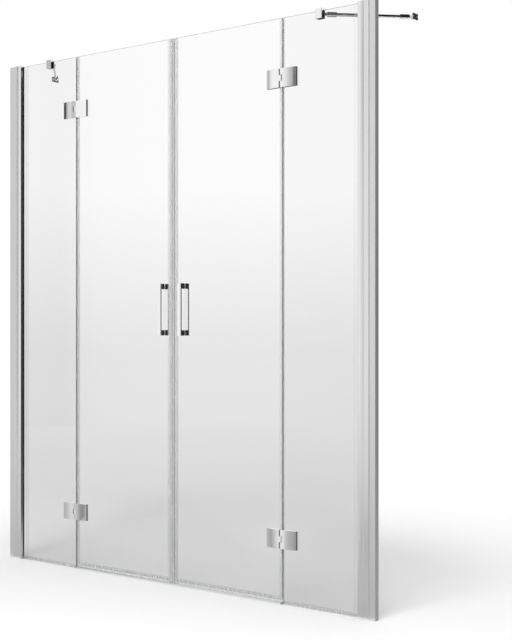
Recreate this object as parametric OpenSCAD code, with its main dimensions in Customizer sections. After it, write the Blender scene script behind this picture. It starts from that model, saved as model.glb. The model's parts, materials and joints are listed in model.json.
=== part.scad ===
// Shower front for a niche: two fixed glass panels in adjustable wall profiles, and between
// them a pair of frameless doors on glass-to-glass hinges that open outwards and meet at a
// pair of magnetic seals. X runs across the front, -Y is the room side, +Y is the wet side
// and Z is up. The origin is the middle of the threshold's underside, in the plane of the glass.
// Each half is described on the left, at negative X, and mirrored to the right.

/* [Overall size] */
// Distance between the two side walls that the front fills
overall_w = 1770; // [1500:10:2000]
// Height of the top edge of all the glass
glass_top = 2000; // [1700:10:2200]
// Distance from each side wall to the hinge line next to it
hinge_line = 380; // [300:5:450]

/* [Glass] */
// Thickness of every panel
glass_t = 8; // [6:1:10]
// Width of the ground bevel round every panel
arris = 0.8; // [0.4:0.1:1.5]
// Gap between a door and the fixed panel beside it
seam_gap = 6; // [5:0.5:8]
// Height of the fixed panels' lower edge
fixed_lift = 3; // [2:0.5:6]
// Height of the doors' lower edge
door_lift = 16; // [14:0.5:22]

/* [Wall profiles] */
// Distance from the wall to the profile's edge on the glass
profile_face = 67; // [58:1:80]
// Width of the wall channel that shows beside the glazing profile
channel_show = 24; // [12:1:32]
// Wall thickness of both extrusions
profile_t = 1.5; // [1.2:0.1:2]
// Thickness of the wall channel's web, which lies on the wall
channel_web = 2; // [1.5:0.1:3]
// Depth of the hollow box in front of the glass
box_d = 11; // [8:0.5:15]
// Depth of the pocket that holds the glass
pocket_d = 19; // [15:0.5:22]
// Sliding clearance between the two extrusions
slide_gap = 0.3; // [0.2:0.05:0.5]
// Space left for adjustment behind the wall channel's flanges
adjust_gap = 1.5; // [1:0.5:3]
// Width of the crowned band along the glass
crown_w = 25; // [16:1:30]
// Rise of the crowned band
crown_h = 1; // [0.4:0.1:1.5]
// Thickness of the top cap
cap_t = 3; // [2:0.5:5]
// Depth of the cap's plug in the hollow box
cap_plug = 10; // [6:1:16]
// Number of screw holes in each wall channel
wall_holes = 4; // [3:1:6]
// Diameter of the wall screw holes
wall_hole_d = 5; // [4:0.5:6.5]
// Distance of the outer wall screw holes from the channel's ends
wall_hole_inset = 160; // [80:10:250]
// Number of screws that lock each glazing profile
adjusters = 3; // [2:1:5]
// Distance of the outer locking screws from the profile's ends
adjuster_inset = 300; // [150:10:400]
// Diameter of the locking screws
adjuster_d = 4; // [3:0.5:5]

/* [Gaskets and seals] */
// Thickness of the glazing gasket on each side of the glass
glazing_t = 1.5; // [1:0.1:2.5]
// Width of the clear lip on the wet side of the glass
splash_lip = 25; // [10:1:35]
// Thickness of the clear lip
lip_t = 1; // [0.6:0.1:1.4]
// Wall thickness of the clip-on seals
seal_t = 1.2; // [0.8:0.1:1.6]
// Length of the seals' legs on the glass
seal_leg = 9; // [6:0.5:14]
// Distance between two seals that meet at a corner
seal_joint = 0.5; // [0.3:0.1:1]
// Clearance between a fin and what it seals on
fin_gap = 0.5; // [0.3:0.1:1]
// Gap between the two magnetic seals when the doors are shut
meet_gap = 1.2; // [1:0.1:2]
// Length of the magnetic seals' legs on the glass
magnet_leg = 14; // [8:1:18]
// Wall in front of the magnet
magnet_wall = 0.8; // [0.5:0.1:1.2]
// Width of the magnet across the gap
magnet_w = 5.5; // [4:0.5:8]
// Clearance round the magnet in its pocket
magnet_gap = 0.1; // [0.05:0.05:0.2]
// Distance of the magnet's ends from the seal's ends
magnet_inset = 5; // [2:1:20]

/* [Threshold] */
// Depth of the threshold bar from front to back
sill_w = 20; // [16:1:30]
// Height of the threshold bar
sill_h = 8; // [6:0.5:10]
// Radius of its upper edges
sill_r = 3; // [1:0.5:4]
// Length of each end cap
sill_cap = 8; // [5:1:15]
// Gap between an end cap and the fixed panel
sill_end_gap = 1.2; // [0.5:0.1:2]

/* [Hinges] */
// Distance of the hinges' centres from the doors' upper and lower edges
hinge_inset = 207; // [120:1:400]
// Height of a hinge
hinge_h = 65; // [56:1:90]
// Width of one leaf from the hinge line
leaf_w = 63; // [54:1:80]
// Thickness of the front leaves at the hinge line
leaf_t = 13; // [12:0.5:16]
// Fall of the crowned front face towards the ends
leaf_crown = 5; // [2:0.5:6]
// Gap between a knuckle and the leaf that turns round it
knuckle_gap = 0.6; // [0.4:0.1:1]
// Height of each of the fixed leaf's two knuckles
ear_h = 21.5; // [16:0.5:24]
// Diameter of the hinge pin
pin_d = 6; // [5:0.5:7]
// Recess of the pin's ends
pin_recess = 0.5; // [0:0.1:1]
// Wall of the plastic bushes
bush_t = 1.5; // [1:0.1:2]
// Thickness of the bushes' collars
bush_flange = 0.8; // [0.5:0.1:1.2]
// Radial running clearance between pin and bush
pin_fit = 0.05; // [0.02:0.01:0.1]
// Running clearance between a bush's collar and the knuckle
thrust_gap = 0.3; // [0.2:0.05:0.5]
// Thickness of the gaskets between metal and glass
gasket_t = 1; // [0.5:0.1:2]
// Distance of the back plates from the hinge line
back_start = 10; // [8:1:14]
// Width of the back plates
back_w = 36; // [30:1:42]
// Height of the back plates
back_h = 52; // [46:1:56]
// Thickness of the back plates
back_t = 6; // [5:0.5:9]
// Corner radius of the back plates
back_r = 4; // [1:0.5:8]
// Distance of the leaf screws from the hinge line
leaf_screw_x = 28; // [26:1:30]
// Distance between the two screws of a leaf
leaf_screw_pitch = 30; // [22:1:32]
// Diameter of the leaf screws
leaf_screw_d = 6; // [5:0.5:6]
// Depth of the screws in the front leaf
leaf_screw_bite = 6; // [4:0.5:7]
// Diameter of the screw heads
screw_head_d = 10; // [8.5:0.5:11]
// Height of the screw heads
screw_head_h = 3; // [2:0.5:3.5]
// Diameter of the holes in the glass for the leaf screws
leaf_glass_hole = 14; // [12:0.5:16]

/* [Handles] */
// Distance of the handles' centre line from the middle of the front
handle_x = 49.3; // [42:0.1:90]
// Length of a handle
handle_len = 190; // [150:5:400]
// Width of the bar
handle_w = 18; // [14:1:24]
// Thickness of the bar
bar_t = 6.5; // [5:0.5:10]
// Radius of the bar's long edges
bar_r = 1.5; // [0.5:0.1:2]
// Finger gap between glass and bar
finger_gap = 15; // [14:1:45]
// Height of the blocks that carry the bar
block_h = 20; // [16:1:30]
// Thickness of the washers on the glass
washer_t = 1; // [0.5:0.1:2]
// Diameter of the washers
washer_d = 16; // [15:0.5:18]
// Diameter of the threaded studs
stud_d = 6; // [5:0.5:8]
// Depth of the studs in the blocks
stud_bite = 9; // [6:0.5:12]
// Diameter of the handle holes in the glass
handle_glass_hole = 12; // [10:0.5:14]

/* [Braces] */
// Distance of the clamps from the side walls
brace_line = 226; // [150:1:260]
// Distance of the wall plates behind the glass
brace_back = 234; // [160:1:320]
// Distance of the brace's axis below the glass top
brace_drop = 8; // [6:0.5:12]
// Width of the clamp on the glass
clamp_w = 27; // [22:1:36]
// Depth of the clamp through the glass
clamp_d = 24; // [22:1:30]
// Height of the clamp
clamp_h = 34; // [30:1:44]
// Part of the clamp above the glass
clamp_over = 7; // [6:0.5:10]
// Radius of the clamp's upright edges
clamp_r = 2; // [0.5:0.5:4]
// Thickness of the pad between clamp and glass
pad_t = 1; // [0.5:0.1:1.5]
// Diameter of the grub screw in the clamp
clamp_screw_d = 5; // [4:0.5:6]
// Height of that screw above the clamp's lower edge
clamp_screw_z = 5; // [4:0.5:7]
// Diameter of the brace tube
tube_d = 12; // [10:0.5:14]
// Wall thickness of the brace tube
tube_t = 1.2; // [0.8:0.1:2]
// Outer diameter of the sockets at its ends
socket_d = 18; // [16:0.5:22]
// Length of the sockets
socket_len = 33; // [25:1:50]
// Depth of the tube in a socket
tube_bite = 22; // [12:1:24]
// Distance from the pivot to the socket
neck_len = 13; // [11:0.5:20]
// Thickness of the tongue in its fork
tongue_t = 7.6; // [6:0.2:8]
// Thickness of each fork ear
fork_t = 4; // [3:0.5:4.5]
// Half the width of fork and tongue
fork_r = 5.5; // [4.5:0.5:7]
// Distance from the fork's base to its pivot
fork_reach = 6; // [6:0.5:9]
// Clearance between tongue and fork
fork_gap = 0.2; // [0.1:0.05:0.4]
// Diameter of the pivot pins
pivot_d = 4; // [3:0.5:5]
// Diameter of the grub screws in the sockets
socket_screw_d = 4; // [3:0.5:5]
// Width of the plate on the wall
plate_w = 36; // [32:1:50]
// Height of the plate on the wall
plate_h = 21; // [18:1:30]
// Thickness of the plate on the wall
plate_t = 4; // [3:0.5:6]
// Corner radius of that plate
plate_r = 3; // [1:0.5:6]
// Distance between its two screw holes
plate_pitch = 24; // [22:1:30]
// Diameter of its screw holes
plate_hole_d = 4.2; // [3.5:0.1:5]

/* [Hidden] */
$fn = 48;
fine = 720;
left = -1;
right = 1;
over = 1;
merge = 0.5;
hex_share = 0.45;

bright_aluminium = "#d5d7da";
chrome = "#c3c7cc";
steel = "#9b9fa4";
clear_glass = [0.80, 0.90, 0.88, 0.35];
clear_seal = [0.85, 0.88, 0.90, 0.55];
soft_grey = "#8b8e92";
magnet_grey = "#6c6f73";
nylon = "#e4e4e0";

half_w = overall_w / 2;
hinge_x = hinge_line - half_w;
glass_face = glass_t / 2;

// Wall profiles, measured from the wall
pocket_face = glass_face + glazing_t;
profile_back = pocket_face + profile_t;
profile_front = pocket_face + box_d;
pocket_floor = profile_face - pocket_d;
glass_start = pocket_floor + glazing_t;
channel_end = pocket_floor - profile_t - adjust_gap;
channel_front = profile_front - profile_t - slide_gap;
channel_back = pocket_face - slide_gap;
channel_mid = (channel_back - channel_front) / 2;
crown_r = (crown_w * crown_w / 4 + crown_h * crown_h) / (2 * crown_h);
adjuster_u = (channel_show + channel_end) / 2;
adjuster_head_r = adjuster_d - 0.4;
adjuster_head_h = adjuster_d / 2 - 0.4;

// Panels
fixed_edge = hinge_x - seam_gap / 2;
door_edge = hinge_x + seam_gap / 2;
magnet_box = magnet_wall + magnet_w + 2 * magnet_gap + seal_t;
door_end = -(meet_gap / 2 + magnet_box);
seal_face = glass_face + seal_t;
hinge_heights = [door_lift + hinge_inset, glass_top - hinge_inset];
handle_z = (door_lift + glass_top) / 2;
hole_z = (handle_len - block_h) / 2;

// Threshold and foot of the doors
sill_half = -fixed_edge - sill_end_gap;
fin_foot = sill_h + fin_gap;

// Hinges, measured from the hinge line
leaf_back = glass_face + gasket_t;
leaf_front = leaf_back + leaf_t;
pin_y = -(leaf_back + leaf_t / 2);
knuckle_r = leaf_t / 2;
leaf_start = knuckle_r + knuckle_gap;
crown_curve = (leaf_w * leaf_w + leaf_crown * leaf_crown) / (2 * leaf_crown);
tongue_h = hinge_h - 2 * (ear_h + bush_flange + thrust_gap);
bush_r = pin_d / 2 + bush_t;
collar_r = knuckle_r - bush_flange;
back_face = leaf_back + back_t;
sleeve_gap = 0.2;
screw_fit = 0.2;
gasket_margin = 1;

// Handles
handle_back = glass_face + finger_gap;
block_start = glass_face + washer_t;

// Braces
slot_w = glass_t + 2 * pad_t;
brace_z = glass_top - brace_drop;
clamp_foot = glass_top + clamp_over - clamp_h;
clamp_pivot = [brace_line, clamp_d / 2 + fork_reach];
plate_pivot = [plate_t + fork_reach, brace_back];
brace_run = clamp_pivot - plate_pivot;
pivot_span = norm(brace_run);
brace_angle = atan2(brace_run[1], brace_run[0]);
tube_start = neck_len + socket_len - tube_bite;
fork_half = tongue_t / 2 + fork_gap + fork_t;

// Puts a left-hand shape on the left or, mirrored, on the right
module on_side(side) {
    if (side == left) children();
    else mirror([1, 0, 0]) children();
}

// Puts a shape that is measured from the wall, along +X, beside the side wall
module from_wall(side) {
    on_side(side) translate([-half_w, 0, 0]) children();
}

module both_sides() {
    for (side = [left, right]) on_side(side) children();
}

// Extrudes a shape drawn in X and Z from y0 to y1
module slab_y(y0, y1) {
    translate([0, y1, 0]) rotate([90, 0, 0]) linear_extrude(y1 - y0) children();
}

// Extrudes a shape drawn in Y and Z from x0 to x1
module slab_x(x0, x1) {
    translate([x0, 0, 0]) rotate([90, 0, 90]) linear_extrude(x1 - x0) children();
}

module slab_z(z0, z1) {
    translate([0, 0, z0]) linear_extrude(z1 - z0) children();
}

// Round bar along Y
module rod_y(r, y0, y1) {
    translate([0, y0, 0]) rotate([-90, 0, 0]) cylinder(r = r, h = y1 - y0);
}

// Hexagonal recess, depth deep, in a screw head whose face is at y
module hex_socket(head_r, y, depth) {
    translate([0, y - depth, 0]) rotate([-90, 0, 0])
        cylinder(r = head_r * hex_share, h = depth + over, $fn = 6);
}

// Rectangle from corner to corner
module box_2d(x0, x1, y0, y1) {
    translate([x0, y0]) square([x1 - x0, y1 - y0]);
}

// Centred rectangle with round corners
module rounded_2d(w, h, r) {
    square([w - 2 * r, h], center = true);
    square([w, h - 2 * r], center = true);
    for (x = [-1, 1], y = [-1, 1])
        translate([x * (w / 2 - r), y * (h / 2 - r)]) circle(r);
}

function spread(a, b, n) = [for (i = [0 : n - 1]) a + (b - a) * i / (n - 1)];

// Corners of a bar's section from a0 to a1, t thick, with bevelled corners
function bevelled(a0, a1, t, c) = [
    [a0 + c, -t / 2], [a1 - c, -t / 2], [a1, c - t / 2], [a1, t / 2 - c],
    [a1 - c, t / 2], [a0 + c, t / 2], [a0, t / 2 - c], [a0, c - t / 2]
];
function swapped(points) = [for (p = points) [p[1], p[0]]];

// WALL PROFILES

// Outline of the wall channel, from the wall
module channel_outline() {
    box_2d(0, channel_end, -channel_front, channel_back);
}

// Outline of the glazing profile with its crowned band along the glass
module glazing_outline() {
    box_2d(channel_show, profile_face, -profile_front, profile_back);
    intersection() {
        translate([profile_face - crown_w / 2, crown_r - crown_h - profile_front])
            circle(crown_r, $fn = fine);
        box_2d(profile_face - crown_w, profile_face, -profile_front - crown_h,
               merge - profile_front);
    }
}

// The hollow box in front of the glass, closed on all four sides
module hollow_box(gap = 0) {
    box_2d(pocket_floor + gap, profile_face - profile_t - gap,
           profile_t - profile_front + gap, -pocket_face - profile_t - gap);
}

module wall_channel(side) {
    color(bright_aluminium) from_wall(side) difference() {
        slab_z(0, glass_top) difference() {
            channel_outline();
            box_2d(channel_web, channel_end + over,
                   profile_t - channel_front, channel_back - profile_t);
        }
        for (z = spread(wall_hole_inset, glass_top - wall_hole_inset, wall_holes))
            translate([-over, channel_mid, z])
                rotate([0, 90, 0]) cylinder(d = wall_hole_d, h = channel_web + 2 * over);
        adjuster_places() rod_y(adjuster_d / 2, glass_face - over, profile_back + over);
    }
}

module glazing_profile(side) {
    color(bright_aluminium) from_wall(side) difference() {
        slab_z(0, glass_top) difference() {
            glazing_outline();
            box_2d(channel_show - over, pocket_floor - profile_t,
                   profile_t - profile_front, pocket_face);
            hollow_box();
            box_2d(pocket_floor, profile_face + over, -pocket_face, pocket_face);
        }
        adjuster_places() rod_y(adjuster_d / 2, glass_face, profile_back + over);
    }
}

module adjuster_places() {
    for (z = spread(adjuster_inset, glass_top - adjuster_inset, adjusters))
        translate([adjuster_u, 0, z]) children();
}

module adjuster_screw() {
    rod_y(adjuster_d / 2, channel_back - profile_t, profile_back);
    difference() {
        rod_y(adjuster_head_r, profile_back, profile_back + adjuster_head_h);
        hex_socket(adjuster_head_r, profile_back + adjuster_head_h, adjuster_head_h / 2);
    }
}

module adjuster_screws() {
    color(steel) both_sides() translate([-half_w, 0, 0]) adjuster_places() adjuster_screw();
}

// A lid over both extrusions, with a plug in the hollow box
module profile_caps() {
    color(bright_aluminium) both_sides() translate([-half_w, 0, 0]) {
        slab_z(glass_top, glass_top + cap_t) {
            channel_outline();
            glazing_outline();
        }
        slab_z(glass_top - cap_plug, glass_top + merge) hollow_box(slide_gap);
    }
}

// Clear gasket round the glass edge in the pocket, with a lip that lies on the wet side
module glazing_gaskets() {
    lip_foot = fixed_lift + seal_leg + seal_joint;
    color(clear_seal) both_sides() translate([-half_w, 0, 0]) {
        slab_z(0, glass_top) difference() {
            box_2d(pocket_floor, profile_face, -pocket_face, pocket_face);
            box_2d(glass_start, profile_face + over, -glass_face, glass_face);
        }
        slab_z(lip_foot, glass_top) box_2d(
            profile_face - merge, profile_face + splash_lip, glass_face, glass_face + lip_t);
    }
}

// GLASS

// A panel with ground bevels all round
module panel(x0, x1, z0, z1) {
    intersection() {
        slab_z(z0, z1) polygon(bevelled(x0, x1, glass_t, arris));
        slab_x(x0, x1) polygon(swapped(bevelled(z0, z1, glass_t, arris)));
    }
}

// Holes for both leaves' screws, on the side of the hinge line that dir gives
module leaf_glass_holes(dir) {
    for (z = hinge_heights, s = [-1, 1])
        translate([hinge_x + dir * leaf_screw_x, 0, z + s * leaf_screw_pitch / 2])
            rod_y(leaf_glass_hole / 2, -glass_t, glass_t);
}

module fixed_glass(side) {
    color(clear_glass) on_side(side) difference() {
        panel(glass_start - half_w, fixed_edge, fixed_lift, glass_top);
        leaf_glass_holes(-1);
    }
}

module door_glass(side) {
    color(clear_glass) on_side(side) difference() {
        panel(door_edge, door_end, door_lift, glass_top);
        leaf_glass_holes(1);
        handle_places() rod_y(handle_glass_hole / 2, -glass_t, glass_t);
    }
}

// SEALS

// Section of a channel that clips over a glass edge at 0 and grips it along +X
module clip_2d(web, leg) {
    difference() {
        box_2d(-web, leg, -seal_face, seal_face);
        box_2d(0, leg + over, -glass_face, glass_face);
    }
}

// The fixed panels stand in a clear channel
module fixed_foot_seals() {
    color(clear_seal) both_sides()
        slab_x(profile_face - half_w + seal_joint, fixed_edge)
            translate([0, fixed_lift]) rotate(90) clip_2d(fixed_lift, seal_leg);
}

// Clear channel on the door's hinge edge, in three lengths between the hinges, with a fin
module hinge_seal(side) {
    stops = [door_lift + seal_leg, hinge_heights[0] - hinge_h / 2,
             hinge_heights[0] + hinge_h / 2, hinge_heights[1] - hinge_h / 2,
             hinge_heights[1] + hinge_h / 2, glass_top + seal_joint];
    color(clear_seal) on_side(side) for (i = [0, 2, 4])
        slab_z(stops[i] + seal_joint, stops[i + 1] - seal_joint) {
            translate([door_edge, 0]) clip_2d(seal_t, seal_leg);
            box_2d(fixed_edge + fin_gap, door_edge, glass_face - arris - seal_t, glass_face - arris);
        }
}

// Clear channel under the door with a fin that sweeps over the threshold
module door_sweep(side) {
    color(clear_seal) on_side(side)
        slab_x(door_edge, door_end - magnet_leg - seal_joint) {
            translate([0, door_lift]) rotate(90) clip_2d(seal_t, seal_leg);
            polygon([[glass_face - seal_t, door_lift - merge], [glass_face, door_lift - merge],
                     [glass_face - seal_t, fin_foot], [glass_face - 2 * seal_t, fin_foot]]);
        }
}

// Seal on the door's free edge with a pocket for the magnet
module magnet_seal(side) {
    pocket = -meet_gap / 2 - magnet_wall;
    color(clear_seal) on_side(side) slab_z(fin_foot, glass_top) difference() {
        translate([door_end, 0]) mirror([1, 0]) clip_2d(magnet_box, magnet_leg);
        box_2d(pocket - magnet_w - 2 * magnet_gap, pocket,
               -glass_face - magnet_gap, glass_face + magnet_gap);
    }
}

module magnet_strip(side) {
    front = -meet_gap / 2 - magnet_wall - magnet_gap;
    color(magnet_grey) on_side(side) slab_z(fin_foot + magnet_inset, glass_top - magnet_inset)
        box_2d(front - magnet_w, front, -glass_face, glass_face);
}

// THRESHOLD

// Section of the threshold in Y and Z, with rounded upper edges
module sill_2d() {
    box_2d(-sill_w / 2, sill_w / 2, 0, sill_h - sill_r);
    box_2d(sill_r - sill_w / 2, sill_w / 2 - sill_r, 0, sill_h);
    for (s = [-1, 1])
        translate([s * (sill_w / 2 - sill_r), sill_h - sill_r]) circle(sill_r);
}

module threshold_bar() {
    color(chrome) slab_x(sill_cap - sill_half, sill_half - sill_cap) sill_2d();
}

module threshold_end_caps() {
    color(soft_grey) both_sides() slab_x(-sill_half, sill_cap - sill_half) sill_2d();
}

// HINGES

// Puts a shape, drawn from the hinge line along +X over the door, at one hinge
module at_hinge(side, z) {
    on_side(side) translate([hinge_x, 0, z]) children();
}

module at_hinges(side) {
    for (z = hinge_heights) at_hinge(side, z) children();
}

// The same for the leaf on the fixed panel
module fixed_side() {
    mirror([1, 0, 0]) children();
}

// Plan of a front leaf from x0 to x1 under its crowned face
module leaf_plan(x0, x1) {
    intersection() {
        box_2d(x0, x1, -leaf_front, -leaf_back);
        translate([0, crown_curve - leaf_front]) circle(crown_curve, $fn = fine);
    }
}

// Plan of a knuckle and the neck that joins it to its leaf
module knuckle_plan() {
    leaf_plan(0, leaf_start + merge);
    translate([0, pin_y]) circle(knuckle_r);
}

module leaf_screw_places() {
    for (s = [-1, 1]) translate([leaf_screw_x, 0, s * leaf_screw_pitch / 2]) children();
}

module leaf_plate() {
    difference() {
        slab_z(-hinge_h / 2, hinge_h / 2) leaf_plan(leaf_start, leaf_w);
        leaf_screw_places()
            rod_y(leaf_screw_d / 2, -leaf_back - leaf_screw_bite, over - leaf_back);
    }
}

// The leaf on the fixed panel has the upper and lower knuckles, which hold the pin
module fixed_leaf(side, z) {
    color(chrome) at_hinge(side, z) fixed_side() {
        leaf_plate();
        difference() {
            for (foot = [-hinge_h / 2, hinge_h / 2 - ear_h])
                slab_z(foot, foot + ear_h) knuckle_plan();
            translate([0, pin_y, -hinge_h]) cylinder(d = pin_d, h = 2 * hinge_h);
        }
    }
}

// The leaf on the door has the middle knuckle, which turns on the bushes
module door_leaf(side, z) {
    color(chrome) at_hinge(side, z) {
        leaf_plate();
        difference() {
            slab_z(-tongue_h / 2, tongue_h / 2) knuckle_plan();
            translate([0, pin_y, -hinge_h]) cylinder(r = bush_r, h = 2 * hinge_h);
        }
    }
}

module hinge_pins() {
    color(steel) for (side = [left, right]) at_hinges(side)
        translate([0, pin_y, pin_recess - hinge_h / 2])
            cylinder(d = pin_d, h = hinge_h - 2 * pin_recess);
}

// Two collared bushes to a hinge, pressed into the middle knuckle
module hinge_bushes(side) {
    color(nylon) at_hinges(side) translate([0, pin_y, 0]) for (s = [0, 1]) mirror([0, 0, s])
        difference() {
            union() {
                translate([0, 0, merge]) cylinder(r = bush_r, h = tongue_h / 2 - merge);
                translate([0, 0, tongue_h / 2]) cylinder(r = collar_r, h = bush_flange);
            }
            cylinder(r = pin_d / 2 + pin_fit, h = hinge_h);
        }
}

// Outline of a back plate in X and Z
module back_outline() {
    translate([back_start + back_w / 2, 0]) rounded_2d(back_w, back_h, back_r);
}

module back_plate() {
    difference() {
        slab_y(leaf_back, back_face) back_outline();
        leaf_screw_places() {
            rod_y(leaf_screw_d / 2 + screw_fit, glass_face, back_face + over);
            rod_y(screw_head_d / 2 + screw_fit, back_face - screw_head_h, back_face + over);
        }
    }
}

module fixed_back_plates() {
    color(chrome) for (side = [left, right]) at_hinges(side) fixed_side() back_plate();
}

module door_back_plates(side) {
    color(chrome) at_hinges(side) back_plate();
}

// Sleeve of a gasket in a glass hole, from the panel's middle to the face that dir gives
module glass_sleeve(hole_d, dir) {
    rod_y(hole_d / 2 - sleeve_gap, dir > 0 ? sleeve_gap : -glass_face - merge,
          dir > 0 ? glass_face + merge : -sleeve_gap);
}

// Gaskets in front of and behind the glass, each with a sleeve round every screw
module leaf_gaskets() {
    difference() {
        union() {
            slab_y(-leaf_back, -glass_face)
                box_2d(leaf_start + gasket_margin, leaf_w - gasket_margin,
                       gasket_margin - hinge_h / 2, hinge_h / 2 - gasket_margin);
            leaf_screw_places() glass_sleeve(leaf_glass_hole, -1);
        }
        leaf_screw_places() rod_y(leaf_screw_d / 2 + screw_fit, -glass_t * 2, glass_t * 2);
    }
    difference() {
        union() {
            slab_y(glass_face, leaf_back) back_outline();
            leaf_screw_places() glass_sleeve(leaf_glass_hole, 1);
        }
        leaf_screw_places() rod_y(leaf_screw_d / 2 + screw_fit, -glass_t * 2, glass_t * 2);
    }
}

module fixed_leaf_gaskets() {
    color(soft_grey) for (side = [left, right]) at_hinges(side) fixed_side() leaf_gaskets();
}

module door_leaf_gaskets(side) {
    color(soft_grey) at_hinges(side) leaf_gaskets();
}

// Socket screw from the wet side into the front leaf
module leaf_screw() {
    difference() {
        union() {
            rod_y(leaf_screw_d / 2, -leaf_back - leaf_screw_bite, back_face - screw_head_h);
            rod_y(screw_head_d / 2, back_face - screw_head_h, back_face);
        }
        hex_socket(screw_head_d / 2, back_face, screw_head_h * 2 / 3);
    }
}

module fixed_leaf_screws() {
    color(steel) for (side = [left, right]) at_hinges(side) fixed_side()
        leaf_screw_places() leaf_screw();
}

module door_leaf_screws(side) {
    color(steel) at_hinges(side) leaf_screw_places() leaf_screw();
}

// HANDLES

module at_handle(side) {
    on_side(side) translate([-handle_x, 0, handle_z]) children();
}

module handle_places() {
    for (s = [-1, 1]) translate([-handle_x, 0, handle_z + s * hole_z]) children();
}

// A bar on two blocks, drawn on the wet side
module pull() {
    difference() {
        union() {
            translate([0, handle_back + bar_t / 2, 0])
                slab_z(-handle_len / 2, handle_len / 2) rounded_2d(handle_w, bar_t, bar_r);
            for (s = [-1, 1]) translate([0, 0, s * hole_z])
                slab_z(-block_h / 2, block_h / 2)
                    box_2d(-handle_w / 2, handle_w / 2, block_start, handle_back + bar_t / 2);
        }
        for (s = [-1, 1]) translate([0, 0, s * hole_z])
            rod_y(stud_d / 2, glass_face, block_start + stud_bite);
    }
}

module handle_inner(side) {
    color(chrome) at_handle(side) pull();
}

module handle_outer(side) {
    color(chrome) at_handle(side) mirror([0, 1, 0]) pull();
}

// A washer on each face of the glass, with a sleeve in its hole
module handle_washers(side) {
    color(nylon) on_side(side) handle_places() for (m = [0, 1]) mirror([0, m, 0])
        difference() {
            union() {
                rod_y(washer_d / 2, glass_face, block_start);
                glass_sleeve(handle_glass_hole, 1);
            }
            rod_y(stud_d / 2 + screw_fit, -glass_t, glass_t * 2);
        }
}

module handle_studs(side) {
    stud_end = block_start + stud_bite;
    color(steel) on_side(side) handle_places() rod_y(stud_d / 2, -stud_end, stud_end);
}

// BRACES

// Puts a shape at the middle of the clamp
module at_clamp(side) {
    from_wall(side) translate([brace_line, 0, 0]) children();
}

// Fork that reaches along +Y from its base and leaves a slot for the tongue
module fork() {
    for (s = [-1, 1]) translate([0, 0, s * (fork_half - fork_t / 2)])
        slab_z(-fork_t / 2, fork_t / 2) {
            translate([0, fork_reach]) circle(fork_r);
            box_2d(-fork_r, fork_r, -merge, fork_reach);
        }
}

module pivot_hole() {
    translate([0, fork_reach, -fork_half - over]) cylinder(d = pivot_d, h = 2 * (fork_half + over));
}

// Block that rides on the panel's top edge and carries a fork
module brace_clamp(side) {
    color(chrome) at_clamp(side) difference() {
        union() {
            slab_z(clamp_foot, clamp_foot + clamp_h) rounded_2d(clamp_w, clamp_d, clamp_r);
            translate([0, clamp_d / 2, brace_z]) fork();
        }
        slab_z(clamp_foot - over, glass_top + pad_t)
            square([clamp_w + 2 * over, slot_w], center = true);
        translate([0, 0, clamp_foot + clamp_screw_z])
            rod_y(clamp_screw_d / 2, glass_face, clamp_d);
        translate([0, clamp_d / 2, brace_z]) pivot_hole();
    }
}

// Clear pad folded over the glass edge in each clamp
module clamp_pads() {
    color(clear_seal) for (side = [left, right]) at_clamp(side)
        slab_x(-clamp_w / 2, clamp_w / 2) difference() {
            box_2d(-slot_w / 2, slot_w / 2, clamp_foot, glass_top + pad_t);
            box_2d(-glass_face, glass_face, clamp_foot - over, glass_top);
        }
}

// Origin at a pivot, X along the brace, for the end at the clamp (0) or at the wall (1)
module along_brace(end) {
    pivot = end == 0 ? clamp_pivot : plate_pivot;
    translate([pivot[0], pivot[1], brace_z]) rotate(end == 0 ? brace_angle + 180 : brace_angle)
        children();
}

// Tongue in the fork and round socket for the tube
module socket() {
    difference() {
        union() {
            slab_z(-tongue_t / 2, tongue_t / 2) {
                circle(fork_r);
                box_2d(0, neck_len + 2 * merge, -fork_r, fork_r);
            }
            translate([neck_len, 0, 0]) rotate([0, 90, 0]) cylinder(d = socket_d, h = socket_len);
        }
        translate([tube_start, 0, 0]) rotate([0, 90, 0]) cylinder(d = tube_d, h = tube_bite + over);
        translate([0, 0, -socket_d]) cylinder(d = pivot_d, h = 2 * socket_d);
        translate([neck_len + socket_len - tube_bite / 2, 0, -socket_d])
            cylinder(d = socket_screw_d, h = socket_d);
    }
}

module brace_sockets() {
    color(chrome) for (side = [left, right]) from_wall(side)
        for (end = [0, 1]) along_brace(end) socket();
}

module brace_tube(side) {
    color(chrome) from_wall(side) along_brace(0)
        translate([tube_start, 0, 0]) rotate([0, 90, 0]) difference() {
            cylinder(d = tube_d, h = pivot_span - 2 * tube_start);
            translate([0, 0, -over])
                cylinder(r = tube_d / 2 - tube_t, h = pivot_span - 2 * tube_start + 2 * over);
        }
}

module brace_pivots() {
    color(steel) for (side = [left, right]) from_wall(side)
        for (end = [0, 1]) along_brace(end)
            translate([0, 0, -fork_half]) cylinder(d = pivot_d, h = 2 * fork_half);
}

// Grub screws: one presses the pad in each clamp, one holds the tube in each socket
module brace_grub_screws() {
    color(steel) for (side = [left, right]) {
        at_clamp(side) translate([0, 0, clamp_foot + clamp_screw_z])
            rod_y(clamp_screw_d / 2, slot_w / 2, clamp_d / 2);
        from_wall(side) for (end = [0, 1]) along_brace(end)
            translate([neck_len + socket_len - tube_bite / 2, 0, -socket_d / 2 + merge])
                cylinder(d = socket_screw_d, h = (socket_d - tube_d) / 2 - 2 * merge);
    }
}

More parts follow.
